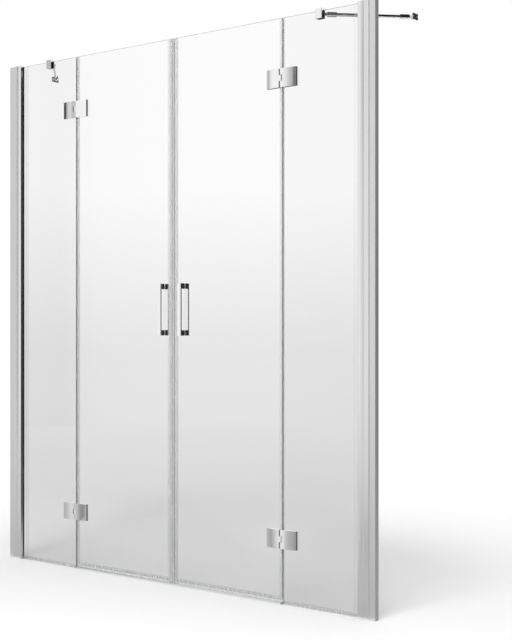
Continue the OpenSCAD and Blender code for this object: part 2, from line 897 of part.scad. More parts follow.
// Plate on the side wall with two screw holes and a fork
module brace_wall_plate(side) {
    color(chrome) from_wall(side) translate([0, brace_back, brace_z]) difference() {
        union() {
            slab_x(0, plate_t) rounded_2d(plate_w, plate_h, plate_r);
            translate([plate_t, 0, 0]) rotate(-90) fork();
        }
        for (s = [-1, 1]) translate([-over, s * plate_pitch / 2, 0])
            rotate([0, 90, 0]) cylinder(d = plate_hole_d, h = plate_t + 2 * over);
        translate([plate_t, 0, 0]) rotate(-90) pivot_hole();
    }
}

module wall_channel_left() wall_channel(left);
module wall_channel_right() wall_channel(right);
module glazing_profile_left() glazing_profile(left);
module glazing_profile_right() glazing_profile(right);
module fixed_glass_left() fixed_glass(left);
module fixed_glass_right() fixed_glass(right);
module fixed_leaf_upper_left() fixed_leaf(left, hinge_heights[1]);
module fixed_leaf_lower_left() fixed_leaf(left, hinge_heights[0]);
module fixed_leaf_upper_right() fixed_leaf(right, hinge_heights[1]);
module fixed_leaf_lower_right() fixed_leaf(right, hinge_heights[0]);
module brace_clamp_left() brace_clamp(left);
module brace_clamp_right() brace_clamp(right);
module brace_tube_left() brace_tube(left);
module brace_tube_right() brace_tube(right);
module brace_wall_plate_left() brace_wall_plate(left);
module brace_wall_plate_right() brace_wall_plate(right);
module door_glass_left() door_glass(left);
module door_glass_right() door_glass(right);
module hinge_seal_left() hinge_seal(left);
module hinge_seal_right() hinge_seal(right);
module door_sweep_left() door_sweep(left);
module door_sweep_right() door_sweep(right);
module magnet_seal_left() magnet_seal(left);
module magnet_seal_right() magnet_seal(right);
module magnet_strip_left() magnet_strip(left);
module magnet_strip_right() magnet_strip(right);
module door_leaf_upper_left() door_leaf(left, hinge_heights[1]);
module door_leaf_lower_left() door_leaf(left, hinge_heights[0]);
module door_leaf_upper_right() door_leaf(right, hinge_heights[1]);
module door_leaf_lower_right() door_leaf(right, hinge_heights[0]);
module door_back_plates_left() door_back_plates(left);
module door_back_plates_right() door_back_plates(right);
module hinge_bushes_left() hinge_bushes(left);
module hinge_bushes_right() hinge_bushes(right);
module door_leaf_gaskets_left() door_leaf_gaskets(left);
module door_leaf_gaskets_right() door_leaf_gaskets(right);
module door_leaf_screws_left() door_leaf_screws(left);
module door_leaf_screws_right() door_leaf_screws(right);
module handle_outer_left() handle_outer(left);
module handle_outer_right() handle_outer(right);
module handle_inner_left() handle_inner(left);
module handle_inner_right() handle_inner(right);
module handle_washers_left() handle_washers(left);
module handle_washers_right() handle_washers(right);
module handle_studs_left() handle_studs(left);
module handle_studs_right() handle_studs(right);

wall_channel_left();
wall_channel_right();
glazing_profile_left();
glazing_profile_right();
profile_caps();
glazing_gaskets();
adjuster_screws();
fixed_glass_left();
fixed_glass_right();
fixed_foot_seals();
threshold_bar();
threshold_end_caps();
fixed_leaf_upper_left();
fixed_leaf_lower_left();
fixed_leaf_upper_right();
fixed_leaf_lower_right();
fixed_back_plates();
hinge_pins();
fixed_leaf_gaskets();
fixed_leaf_screws();
brace_clamp_left();
brace_clamp_right();
clamp_pads();
brace_grub_screws();
brace_sockets();
brace_tube_left();
brace_tube_right();
brace_pivots();
brace_wall_plate_left();
brace_wall_plate_right();
door_glass_left();
door_glass_right();
hinge_seal_left();
hinge_seal_right();
door_sweep_left();
door_sweep_right();
magnet_seal_left();
magnet_seal_right();
magnet_strip_left();
magnet_strip_right();
door_leaf_upper_left();
door_leaf_lower_left();
door_leaf_upper_right();
door_leaf_lower_right();
door_back_plates_left();
door_back_plates_right();
hinge_bushes_left();
hinge_bushes_right();
door_leaf_gaskets_left();
door_leaf_gaskets_right();
door_leaf_screws_left();
door_leaf_screws_right();
handle_outer_left();
handle_outer_right();
handle_inner_left();
handle_inner_right();
handle_washers_left();
handle_washers_right();
handle_studs_left();
handle_studs_right();
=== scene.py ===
# %% [markdown]
# # Dressing a glass shower front
#
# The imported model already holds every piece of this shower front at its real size: two fixed
# glass panels in wall profiles, and between them a pair of hinged glass doors. This lesson gives
# it its looks: clear glass with ground edges, bright extruded profiles, clear seals and polished
# fittings. It begins by loading the model, because every piece is placed from what is there.

# %% Load the model
import json
import math

import bmesh
import bpy
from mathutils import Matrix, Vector

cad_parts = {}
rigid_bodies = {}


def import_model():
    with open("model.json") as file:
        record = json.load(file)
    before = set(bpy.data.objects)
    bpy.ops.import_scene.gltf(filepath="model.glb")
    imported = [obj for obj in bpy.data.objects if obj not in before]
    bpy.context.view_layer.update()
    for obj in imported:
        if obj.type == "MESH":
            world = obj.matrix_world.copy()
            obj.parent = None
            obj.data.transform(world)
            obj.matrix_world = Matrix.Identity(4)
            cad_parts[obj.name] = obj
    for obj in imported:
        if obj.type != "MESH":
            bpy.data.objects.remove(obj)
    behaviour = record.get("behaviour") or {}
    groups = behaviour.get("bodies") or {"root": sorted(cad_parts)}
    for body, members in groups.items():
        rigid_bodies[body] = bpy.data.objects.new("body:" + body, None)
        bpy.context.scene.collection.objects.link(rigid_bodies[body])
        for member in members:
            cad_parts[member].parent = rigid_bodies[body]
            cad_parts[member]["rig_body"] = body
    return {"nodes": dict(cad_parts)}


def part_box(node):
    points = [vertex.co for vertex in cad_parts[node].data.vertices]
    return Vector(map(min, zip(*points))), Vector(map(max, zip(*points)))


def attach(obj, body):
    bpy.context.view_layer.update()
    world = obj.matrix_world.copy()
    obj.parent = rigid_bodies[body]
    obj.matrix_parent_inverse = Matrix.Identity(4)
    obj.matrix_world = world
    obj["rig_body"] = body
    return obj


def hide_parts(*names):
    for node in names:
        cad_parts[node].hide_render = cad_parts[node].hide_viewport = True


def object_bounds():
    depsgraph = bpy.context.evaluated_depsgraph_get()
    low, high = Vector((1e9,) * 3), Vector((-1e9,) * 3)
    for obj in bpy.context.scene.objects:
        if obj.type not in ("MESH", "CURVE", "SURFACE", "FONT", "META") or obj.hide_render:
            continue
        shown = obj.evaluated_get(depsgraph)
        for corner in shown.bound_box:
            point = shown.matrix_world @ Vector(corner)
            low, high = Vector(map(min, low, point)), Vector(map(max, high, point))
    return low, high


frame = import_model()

cad_low, cad_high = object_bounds()
print("nodes:", len(frame["nodes"]), "size:", [round(v, 4) for v in cad_high - cad_low])

# %% [markdown]
# ## Units and the two halves
#
# Fittings are thought of in millimetres, and the model is in metres, so one factor turns the one
# into the other. The front is the same on both sides of its middle: whatever is drawn for the
# left half is drawn again with its X turned round for the right half. One small helper adds an
# object to the scene.

# %% Units and sides
MM = 0.001
SIDES = {"left": -1, "right": 1}
HALF_WIDTH = cad_high.x
GLASS_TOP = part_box("fixed_glass_left")[1].z
HINGE_LINE = HALF_WIDTH - 380 * MM


def add_object(name, data):
    thing = bpy.data.objects.new(name, data)
    bpy.context.scene.collection.objects.link(thing)
    return thing


print("half width", round(HALF_WIDTH, 4), "glass top", round(GLASS_TOP, 4))

# %% [markdown]
# ## The camera
#
# The photograph's upright edges are all parallel, so its camera was held level. Two facts settle
# the rest: how fast the level edges run together gives the lens and the angle at which the camera
# looks along the front, and the height at which they would meet is the height of the lens. A
# small shift keeps the uprights parallel and still frames the front as in the photograph.

# %% Place the camera
PHOTO_HEIGHT = 640
FOCAL_PIXELS = 1241.2
HORIZON_ROW = 322.6
CAMERA_PLACE = Vector((3.0527, -3.3834, 0.9603))
CAMERA_TURN = math.radians(38.25)
SENSOR_WIDTH = 36

camera = add_object("camera", bpy.data.cameras.new("camera"))
camera.location = CAMERA_PLACE
camera.rotation_euler = (math.radians(90), 0, CAMERA_TURN)
camera.data.sensor_width = SENSOR_WIDTH
camera.data.lens = SENSOR_WIDTH * FOCAL_PIXELS / PHOTO_HEIGHT
camera.data.shift_y = (HORIZON_ROW - PHOTO_HEIGHT / 2) / PHOTO_HEIGHT
bpy.context.scene.camera = camera
print("lens", round(camera.data.lens, 2), "mm, shift", round(camera.data.shift_y, 4))

# %% [markdown]
# ## Small helpers for materials
#
# Every finish below is a Principled shader with a few nodes before it. Small helpers keep those
# recipes short: one starts a material, one adds a node with its values, one wires nodes together,
# and one adds a noise pattern in the piece's own coordinates, stretched as the real surface was
# drawn or brushed. The rest turn that pattern into gloss, bumps or colour. A value that goes from
# one helper to the next is a pair: a node and the name of its output.

# %% Material helpers
NOISE_LOW, NOISE_HIGH = 0.3, 0.7


def start_material(name, **values):
    material = bpy.data.materials.new(name)
    material.use_nodes = True
    shader = material.node_tree.nodes["Principled BSDF"]
    for socket, value in values.items():
        shader.inputs[socket.replace("_", " ")].default_value = value
    return material, material.node_tree, shader


def add_node(tree, kind, settings=None, **values):
    node = tree.nodes.new(kind)
    for key, value in (settings or {}).items():
        setattr(node, key, value)
    for socket, value in values.items():
        node.inputs[socket.replace("_", " ")].default_value = value
    return node


def add_math(tree, operation, value=None):
    """A sum whose second number may be fixed."""
    node = add_node(tree, "ShaderNodeMath", {"operation": operation})
    if value is not None:
        node.inputs[1].default_value = value
    return node


def wire(tree, *links):
    """Each link is a node, its output, the next node and its input."""
    for start, output, end, socket in links:
        tree.links.new(start.outputs[output], end.inputs[socket])


def add_noise(tree, scale, stretch=(1, 1, 1), detail=3.0):
    place = tree.nodes.new("ShaderNodeTexCoord")
    mapping = add_node(tree, "ShaderNodeMapping", Scale=stretch)
    noise = add_node(tree, "ShaderNodeTexNoise", Scale=scale, Detail=detail)
    wire(tree, (place, "Object", mapping, "Vector"), (mapping, "Vector", noise, "Vector"))
    return noise, "Fac"


def vary_gloss(tree, shader, value, low, high):
    ramp = add_node(tree, "ShaderNodeMapRange",
                    From_Min=NOISE_LOW, From_Max=NOISE_HIGH, To_Min=low, To_Max=high)
    wire(tree, (*value, ramp, "Value"), (ramp, "Result", shader, "Roughness"))


def add_bump(tree, shader, height, strength, distance):
    bump = add_node(tree, "ShaderNodeBump", Strength=strength, Distance=distance)
    wire(tree, (*height, bump, "Height"), (bump, "Normal", shader, "Normal"))


def vary_colour(tree, shader, value, dark, light):
    ramp = tree.nodes.new("ShaderNodeValToRGB")
    for stop, place, colour in zip(ramp.color_ramp.elements, (NOISE_LOW, NOISE_HIGH), (dark, light)):
        stop.position = place
        stop.color = (*colour, 1)
    wire(tree, (*value, ramp, "Fac"), (ramp, "Color", shader, "Base Color"))

# %% [markdown]
# ## Toughened glass
#
# Clear 8 mm glass shows almost nothing on its faces, and its ground edges do most of the work:
# light that has run along inside the panel leaves there, so they look frosted, with barely a tint.
# The shader's own normal tells face from edge, because only the faces look straight along Y.
# Lamps must reach what stands behind a panel, so shadow rays pass through as if it were a thin
# tinted film, which costs far less than waiting for bent light to find its way.

# %% Glass
EDGE_TINT = (0.97, 0.98, 0.975)
EDGE_FROST = 0.8
FACE_NORMAL = 0.95


def make_glass(name, face_tint, shade):
    material, tree, shader = start_material(name, Transmission_Weight=1.0, IOR=1.5, Roughness=0.0)
    place = tree.nodes.new("ShaderNodeTexCoord")
    parts = tree.nodes.new("ShaderNodeSeparateXYZ")
    flat, edge = add_math(tree, "ABSOLUTE"), add_math(tree, "LESS_THAN", FACE_NORMAL)
    tint = add_node(tree, "ShaderNodeMixRGB", Color1=(*face_tint, 1), Color2=(*EDGE_TINT, 1))
    frost = add_math(tree, "MULTIPLY", EDGE_FROST)
    wire(tree, (place, "Normal", parts, "Vector"), (parts, "Y", flat, 0), (flat, "Value", edge, 0),
         (edge, "Value", tint, "Fac"), (tint, "Color", shader, "Base Color"),
         (edge, "Value", frost, 0), (frost, "Value", shader, "Roughness"))
    let_lamps_through(tree, shader, shade)
    return material


def let_lamps_through(tree, shader, shade):
    rays = tree.nodes.new("ShaderNodeLightPath")
    film = add_node(tree, "ShaderNodeBsdfTransparent", Color=(*shade, 1))
    choose = tree.nodes.new("ShaderNodeMixShader")
    wire(tree, (rays, "Is Shadow Ray", choose, "Fac"), (shader, "BSDF", choose, 1),
         (film, "BSDF", choose, 2), (choose, "Shader", tree.nodes["Material Output"], "Surface"))


door_glass = make_glass("door glass", (0.97, 0.97, 0.975), (0.88, 0.885, 0.885))
fixed_glass = make_glass("fixed glass", (0.93, 0.93, 0.935), (0.84, 0.845, 0.845))
print("glass:", door_glass.name, "and", fixed_glass.name)

# %% [markdown]
# ## Polished and drawn metal
#
# The fittings are brass with bright chrome on it: nearly a mirror, softened by faint waviness
# from the polishing wheel and by a film of handling that changes how sharp the mirror is. The
# profiles are extruded aluminium, bright dipped and anodised, so fine die lines run along them.
# The channel is drawn duller, and on the face that goes against the wall its colour is darkened as painted
# dark reflection: its place, farther out than anything else, tells the shader where that face is. Pins and
# screws are turned from stainless steel, which is greyer and duller than chrome.

# %% Chrome
chrome, tree, shader = start_material("chrome", Metallic=1.0, Base_Color=(0.90, 0.90, 0.905, 1))
vary_gloss(tree, shader, add_noise(tree, scale=35, detail=4), low=0.035, high=0.10)
add_bump(tree, shader, add_noise(tree, scale=220, detail=2), strength=0.08, distance=0.02 * MM)
print("made", chrome.name)

# %% Extruded aluminium
ALONG = {"upright": (1, 1, 0.01), "level": (0.01, 1, 1)}


def make_aluminium(name, colour, along, rough):
    material, tree, shader = start_material(name, Metallic=1.0, Base_Color=(*colour, 1))
    lines = add_noise(tree, 900, ALONG[along], detail=4)
    vary_gloss(tree, shader, lines, *rough)
    add_bump(tree, shader, lines, strength=0.03, distance=0.02 * MM)
    vary_colour(tree, shader, add_noise(tree, 300, ALONG[along], detail=3),
                dark=[0.97 * c for c in colour], light=colour)
    return material


bright_profile = make_aluminium("bright profile", (0.90, 0.90, 0.905), "upright", (0.23, 0.27))
wall_profile = make_aluminium("wall profile", (0.90, 0.90, 0.905), "upright", (0.34, 0.44))
sill_metal = make_aluminium("bright threshold", (0.80, 0.81, 0.82), "level", (0.06, 0.12))
print("made", bright_profile.name, wall_profile.name, sill_metal.name)

# %% Painted dark reflection on the face against the wall
# The darker colour on the wall face is painted dark reflection, not a finish of the metal.
PAINTED_DARK_REFLECTION = (0.34, 0.34, 0.345)
PAINTED_REFLECTION_START = HALF_WIDTH - 0.2 * MM

tree = wall_profile.node_tree
shader = tree.nodes["Principled BSDF"]
polished = shader.inputs["Base Color"].links[0].from_node
place = tree.nodes.new("ShaderNodeTexCoord")
parts = tree.nodes.new("ShaderNodeSeparateXYZ")
outward, at_wall = add_math(tree, "ABSOLUTE"), add_math(tree, "GREATER_THAN", PAINTED_REFLECTION_START)
choose = add_node(tree, "ShaderNodeMixRGB", Color2=(*PAINTED_DARK_REFLECTION, 1))
wire(tree, (place, "Object", parts, "Vector"), (parts, "X", outward, 0), (outward, "Value", at_wall, 0),
     (at_wall, "Value", choose, "Fac"), (polished, "Color", choose, "Color1"),
     (choose, "Color", shader, "Base Color"))
print("painted dark face from", round(PAINTED_REFLECTION_START, 4), "m outwards")

# %% Stainless steel
steel, tree, shader = start_material("stainless steel", Metallic=1.0, Base_Color=(0.60, 0.60, 0.61, 1))
turned = add_noise(tree, 1500, (1, 0.1, 1), detail=3)
vary_gloss(tree, shader, turned, low=0.22, high=0.42)
add_bump(tree, shader, turned, strength=0.25, distance=0.03 * MM)
print("made", steel.name)

# %% [markdown]
# ## Clear and soft plastics
#
# Seals and lips are PVC: glassy, but drawn through a die, so they blur what is behind them and
# look grey where one sees along their walls. The thick seals are a little milky, which a tint and
# a small loss of transmission give, and the thin lips are clearer. Gaskets under the hinges are a
# firm grey rubber, the bushes and washers are white nylon, and the magnets have a pale grey skin.

# %% Clear PVC
def make_clear_plastic(name, tint, shade, rough, clear):
    material, tree, shader = start_material(name, Transmission_Weight=clear, IOR=1.46, Base_Color=(*tint, 1))
    drawn = add_noise(tree, 250, (1, 1, 0.03), detail=3)
    vary_gloss(tree, shader, drawn, *rough)
    add_bump(tree, shader, drawn, strength=0.04, distance=0.05 * MM)
    let_lamps_through(tree, shader, shade)
    return material


seal_plastic = make_clear_plastic("clear seal", (0.90, 0.90, 0.905), (0.96, 0.96, 0.96), (0.16, 0.30), 0.90)
lip_plastic = make_clear_plastic("clear lip", (0.985, 0.985, 0.985), (0.96, 0.96, 0.96), (0.05, 0.14), 1.0)
print("made", seal_plastic.name, lip_plastic.name)

# %% Rubber, nylon and the magnet
def make_plain_plastic(name, dark, light, rough, grain):
    material, tree, shader = start_material(name)
    speckle = add_noise(tree, grain, detail=5)
    vary_colour(tree, shader, speckle, dark, light)
    vary_gloss(tree, shader, speckle, *rough)
    add_bump(tree, shader, speckle, strength=0.2, distance=0.05 * MM)
    return material


rubber = make_plain_plastic("grey rubber", (0.23, 0.235, 0.24), (0.29, 0.295, 0.30), (0.55, 0.75), 600)
nylon = make_plain_plastic("white nylon", (0.72, 0.72, 0.70), (0.78, 0.78, 0.76), (0.35, 0.50), 500)
moulded = make_plain_plastic("moulded grey", (0.24, 0.245, 0.25), (0.28, 0.285, 0.29), (0.40, 0.55), 900)
ferrite = make_plain_plastic("magnet strip", (0.78, 0.78, 0.785), (0.84, 0.84, 0.845), (0.55, 0.7), 1200)
print("made", rubber.name, nylon.name, moulded.name, ferrite.name)

# %% [markdown]
# ## Extruded pieces from one tree
#
# Profiles, seals and the threshold all come out of a die: one section, pushed along a straight
# line. One Geometry Nodes tree makes them all. It takes the loops of a section, rounds every
# corner a little as a die does, fills them (a loop within a loop is a hollow), extrudes the face
# and turns and moves the bar to its place. Fill Curve only works flat, in X and Y, so a level
# bar is drawn flat as well and turned at the end.

# %% Build the extrusion tree
WELD = 0.002 * MM


def start_tree(name, **inputs):
    """Each keyword is a kind of socket, with the names of the inputs of that kind."""
    tree = bpy.data.node_groups.new(name, "GeometryNodeTree")
    tree.interface.new_socket("Geometry", in_out="INPUT", socket_type="NodeSocketGeometry")
    for kind, labels in inputs.items():
        for label in labels:
            tree.interface.new_socket(label, in_out="INPUT", socket_type=f"NodeSocket{kind}")
    tree.interface.new_socket("Geometry", in_out="OUTPUT", socket_type="NodeSocketGeometry")
    return tree, tree.nodes.new("NodeGroupInput"), tree.nodes.new("NodeGroupOutput")


def end_tree(tree, given, last, output, result):
    """Makes instances real and gives the mesh its finish."""
    real = tree.nodes.new("GeometryNodeRealizeInstances")
    coated = tree.nodes.new("GeometryNodeSetMaterial")
    wire(tree, (last, output, real, "Geometry"), (real, "Geometry", coated, "Geometry"),
         (given, "Finish", coated, "Material"), (coated, "Geometry", result, "Geometry"))


def build_extrusion_tree():
    tree, given, result = start_tree("extrusion", Float=["Corner radius", "Length"],
                                     Vector=["Place", "Turn"], Material=["Finish"])
    loops = tree.nodes.new("GeometryNodeMeshToCurve")
    rounded = add_node(tree, "GeometryNodeFilletCurve", {"mode": "POLY"}, Count=3, Limit_Radius=True)
    filled = add_node(tree, "GeometryNodeFillCurve", {"mode": "TRIANGLES"})
    pushed = add_node(tree, "GeometryNodeExtrudeMesh", {"mode": "FACES"}, Individual=False)
    foot = tree.nodes.new("GeometryNodeFlipFaces")
    whole = tree.nodes.new("GeometryNodeJoinGeometry")
    welded = add_node(tree, "GeometryNodeMergeByDistance", Distance=WELD)
    turn = tree.nodes.new("FunctionNodeEulerToRotation")
    placed = tree.nodes.new("GeometryNodeTransform")
    wire(tree, (given, "Geometry", loops, "Mesh"), (loops, "Curve", rounded, "Curve"),
         (given, "Corner radius", rounded, "Radius"), (rounded, "Curve", filled, "Curve"),
         (filled, "Mesh", pushed, "Mesh"), (given, "Length", pushed, "Offset Scale"),
         (filled, "Mesh", foot, "Mesh"), (pushed, "Mesh", whole, "Geometry"),
         (foot, "Mesh", whole, "Geometry"), (whole, "Geometry", welded, "Geometry"),
         (welded, "Geometry", placed, "Geometry"), (given, "Turn", turn, "Euler"),
         (turn, "Rotation", placed, "Rotation"), (given, "Place", placed, "Translation"))
    end_tree(tree, given, placed, "Geometry", result)
    return tree


extrusion_tree = build_extrusion_tree()
print("extrusion tree has", len(extrusion_tree.nodes), "nodes")

# %% [markdown]
# ## From a tree to a plain mesh
#
# A modifier made of nodes is only a recipe. Its inputs are set by each socket's identifier, then
# the object is evaluated once and the result is kept as an ordinary mesh, with edges that are
# sharper than 35 degrees left crisp and the rest shaded smooth. A mesh that nodes have made from
# nothing starts with an empty material slot, which is taken out. Large faces are then given more
# say in the normals than the narrow bevels beside them, so that flat metal mirrors like flat metal.

# %% Run a tree and keep the mesh
CRISP = math.radians(35)


def keep_result(maker):
    bpy.context.view_layer.update()
    graph = bpy.context.evaluated_depsgraph_get()
    plain = bpy.data.meshes.new_from_object(maker.evaluated_get(graph))
    bpy.data.objects.remove(maker)
    return plain


def run_tree(tree, start, inputs):
    maker = add_object("maker", start)
    modifier = maker.modifiers.new(tree.name, "NODES")
    modifier.node_group = tree
    for item in tree.interface.items_tree:
        if item.in_out == "INPUT" and item.name in inputs:
            modifier[item.identifier] = inputs[item.name]
    plain = keep_result(maker)
    while plain.materials[0] is None:
        plain.materials.pop(index=0)
    return plain


def join_meshes(name, meshes):
    gathered = bmesh.new()
    for mesh in meshes:
        gathered.from_mesh(mesh)
    whole = bpy.data.meshes.new(name)
    gathered.to_mesh(whole)
    gathered.free()
    whole.materials.append(meshes[0].materials[0])
    return whole


def firm_normals(mesh):
    mesh.shade_smooth()
    mesh.set_sharp_from_angle(angle=CRISP)
    holder = add_object("holder", mesh)
    weights = holder.modifiers.new("weights", "WEIGHTED_NORMAL")
    weights.weight = 100
    weights.keep_sharp = True
    return keep_result(holder)


def show_piece(name, mesh, body, nodes):
    piece = add_object(name, firm_normals(mesh))
    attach(piece, body)
    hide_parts(*nodes)
    print(name, "has", len(mesh.polygons), "faces, on", body)

# %% [markdown]
# A piece may need several bars, such as a seal that stops at every hinge. Each bar is one run of
# the tree, and the bars are joined into one piece.

# %% Extrude a piece from its runs
UPRIGHT = (0.0, 0.0, 0.0)
LEVEL = (math.radians(90), 0.0, math.radians(90))


def draw_loops(loops):
    mesh = bpy.data.meshes.new("section")
    points, edges = [], []
    for loop in loops:
        first = len(points)
        points += [(a, b, 0.0) for a, b in loop]
        edges += [(first + i, first + (i + 1) % len(loop)) for i in range(len(loop))]
    mesh.from_pydata(points, edges, [])
    return mesh


def extrude_piece(name, body, nodes, finish, corner, runs):
    bars = []
    for loops, start, end in runs:
        level = end.x - start.x > end.z - start.z
        bars.append(run_tree(extrusion_tree, draw_loops(loops), {
            "Corner radius": corner, "Length": (end - start).length, "Place": tuple(start),
            "Turn": LEVEL if level else UPRIGHT, "Finish": finish}))
    show_piece(name, join_meshes(name, bars), body, nodes)


def upright_run(loops, side, z0, z1):
    """The loops are drawn for the left half, in X and Y."""
    turned = [[(-a * SIDES[side], b) for a, b in loop] for loop in loops]
    return turned, Vector((0, 0, z0)), Vector((0, 0, z1))


def level_run(loops, x0, x1):
    """The loops are drawn in Y and Z."""
    return loops, Vector((x0, 0, 0)), Vector((x1, 0, 0))

# %% [markdown]
# ## The wall profiles
#
# Each side has two extrusions. A plain channel is screwed to the wall. The glazing profile slides
# over it to take up a wall that isn't plumb: it has a hollow box in front, crowned along the
# glass so that it catches the light, and a pocket that grips the glass. The sections are drawn
# for the left half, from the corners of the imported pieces.

# %% Wall channel and glazing profile
PROFILE_WALL = 1.5 * MM
WEB = 2 * MM
CROWN_WIDTH = 25 * MM
CROWN_RISE = 1 * MM
POCKET_DEPTH = 19 * MM
POCKET_HALF = 5.5 * MM
SHOW_CORNER = 0.35 * MM

channel_low, channel_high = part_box("wall_channel_left")
profile_low, profile_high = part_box("glazing_profile_left")
profile_front = profile_low.y + CROWN_RISE
pocket_floor = profile_high.x - POCKET_DEPTH


def crown_points(steps=32):
    start, end = profile_high.x - CROWN_WIDTH, profile_high.x
    middle, half = (start + end) / 2, (end - start) / 2
    places = [start + (end - start) * i / steps for i in range(steps + 1)]
    return [(x, profile_front - CROWN_RISE * (1 - ((x - middle) / half) ** 2)) for x in places]


def channel_loops():
    left, right, front, back = channel_low.x, channel_high.x, channel_low.y, channel_high.y
    return [[(left, front), (right, front), (right, front + PROFILE_WALL),
             (left + WEB, front + PROFILE_WALL), (left + WEB, back - PROFILE_WALL),
             (right, back - PROFILE_WALL), (right, back), (left, back)]]


def glazing_loops():
    left, right, back = profile_low.x, profile_high.x, profile_high.y
    web, skin = pocket_floor - PROFILE_WALL, right - PROFILE_WALL
    inside, divider = profile_front + PROFILE_WALL, -POCKET_HALF - PROFILE_WALL
    shell = [(left, profile_front), *crown_points(), (right, -POCKET_HALF),
             (pocket_floor, -POCKET_HALF), (pocket_floor, POCKET_HALF), (right, POCKET_HALF),
             (right, back), (left, back), (left, POCKET_HALF), (web, POCKET_HALF), (web, inside),
             (left, inside)]
    hollow = [(pocket_floor, inside), (skin, inside), (skin, divider), (pocket_floor, divider)]
    return [shell, hollow]


for side in SIDES:
    extrude_piece(f"channel_on_wall_{side}", "frame", [f"wall_channel_{side}"],
                  wall_profile, SHOW_CORNER, [upright_run(channel_loops(), side, 0, GLASS_TOP)])
    extrude_piece(f"crowned_profile_{side}", "frame", [f"glazing_profile_{side}"],
                  bright_profile, SHOW_CORNER, [upright_run(glazing_loops(), side, 0, GLASS_TOP)])

# %% [markdown]
# A thin cap closes the top of both extrusions. Its outline follows the channel, the profile and
# the crown, and its corners are rounder, because it is a separate casting.

# %% Caps
CAP_CORNER = 0.8 * MM


def cap_loops():
    left, right = channel_low.x, profile_high.x
    return [[(left, channel_low.y), (profile_low.x, channel_low.y), (profile_low.x, profile_front),
             *crown_points(), (right, profile_high.y), (profile_low.x, profile_high.y),
             (profile_low.x, channel_high.y), (left, channel_high.y)]]


cap_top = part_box("profile_caps")[1].z
extrude_piece("lids_on_profiles", "frame", ["profile_caps"], bright_profile, CAP_CORNER, [
    upright_run(cap_loops(), side, GLASS_TOP, cap_top) for side in SIDES])

# %% [markdown]
# ## Clear seals
#
# The glass never touches metal. In the profile it sits in a clear gasket whose lip lies on the
# wet side, at its foot it stands in a clear channel, and each door wears clip-on seals: one with
# a fin along the hinges, a sweep underneath and a hollow one with the magnet along its free edge.
# A hair of air is left between seal and glass, because two clear surfaces in the same place
# confuse the light. The gasket comes in two lengths that meet just above the foot channel.

# %% Section of the clip-on seals
AIR = 0.05 * MM
GLASS_HALF = 4 * MM
SEAL_WALL = 1.2 * MM
SEAL_LEG = 9 * MM
SEAL_CORNER = 0.3 * MM
OUTER, INNER = GLASS_HALF + SEAL_WALL, GLASS_HALF + AIR


def clip_loop(web, fin=()):
    """A channel over a glass edge that lies at 0 and runs towards +a."""
    return [(SEAL_LEG, -OUTER), (-web, -OUTER), *fin, (-web, OUTER), (SEAL_LEG, OUTER), (SEAL_LEG, INNER),
            (-AIR, INNER), (-AIR, -INNER), (SEAL_LEG, -INNER)]


print("clip-on seals are", round(2 * OUTER / MM, 2), "mm thick")

# %% Gaskets in the profiles
GASKET_FLOOR = 1.45 * MM
GASKET_GAP = 0.2 * MM
GASKET_JOINT = 12.5 * MM
LIP_WIDTH = 25 * MM
LIP_THICKNESS = 1 * MM


def gasket_loops():
    right, lip_end = profile_high.x, profile_high.x + LIP_WIDTH
    mouth, back = POCKET_HALF - AIR, INNER + LIP_THICKNESS
    floor, start = pocket_floor + AIR, pocket_floor + GASKET_FLOOR
    return [[(floor, -mouth), (right, -mouth), (right, -INNER), (start, -INNER), (start, INNER),
             (lip_end, INNER), (lip_end, back), (right, back), (right, mouth), (floor, mouth)]]


gasket_lengths = [(GASKET_GAP, GASKET_JOINT), (GASKET_JOINT, GLASS_TOP - GASKET_GAP)]
extrude_piece("clear_gaskets", "frame", ["glazing_gaskets"], lip_plastic, SEAL_CORNER, [
    upright_run(gasket_loops(), side, *ends) for side in SIDES for ends in gasket_lengths])

# %% Feet of the fixed panels
FOOT_GAP = 0.5 * MM
glass_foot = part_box("fixed_glass_left")[0].z
fixed_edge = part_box("fixed_glass_left")[1].x
foot_start = profile_high.x + FOOT_GAP
foot_loops = [[(b, glass_foot + a) for a, b in clip_loop(glass_foot)]]
extrude_piece("clear_feet", "frame", ["fixed_foot_seals"], seal_plastic, SEAL_CORNER, [
    level_run(foot_loops, foot_start, fixed_edge), level_run(foot_loops, -fixed_edge, -foot_start)])

# %% [markdown]
# The seals on a door follow its glass. The hinge seal leaves out the hinges, so it comes in three
# lengths; its fin is thicker at the root than at the tip, and so is the blade under the door.

# %% Sections of the door seals
door_low, door_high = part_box("door_glass_left")
lower_hinge, upper_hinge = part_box("fixed_leaf_lower_left"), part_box("fixed_leaf_upper_left")
seal_low, seal_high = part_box("hinge_seal_left")
magnet_low, magnet_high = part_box("magnet_seal_left")
sweep_low, sweep_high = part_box("door_sweep_left")
SEAL_JOINT = 0.5 * MM
FIN_REACH = door_low.x - seal_low.x
FIN_ROOT, FIN_TIP = (2.0 * MM, 3.2 * MM), (2.2 * MM, 3.0 * MM)
BLADE_ROOT, BLADE_TIP = (2.8 * MM, 4.0 * MM), (1.6 * MM, 2.8 * MM)
SWEEP_CORNER = 0.2 * MM
MAGNET_SKIN = 0.8 * MM


def hinge_seal_loops():
    fin = [(-SEAL_WALL, FIN_ROOT[0]), (-FIN_REACH, FIN_TIP[0]), (-FIN_REACH, FIN_TIP[1]),
           (-SEAL_WALL, FIN_ROOT[1])]
    return [[(door_low.x + a, b) for a, b in clip_loop(SEAL_WALL, fin)]]


def magnet_seal_loops():
    start, box_start, box_end = magnet_low.x, door_high.x, magnet_high.x
    near, far = box_start + SEAL_WALL, box_end - MAGNET_SKIN
    shell = [(start, -OUTER), (box_end, -OUTER), (box_end, OUTER), (start, OUTER), (start, INNER),
             (box_start + AIR, INNER), (box_start + AIR, -INNER), (start, -INNER)]
    pocket = [(near, -INNER), (far, -INNER), (far, INNER), (near, INNER)]
    return [shell, pocket]


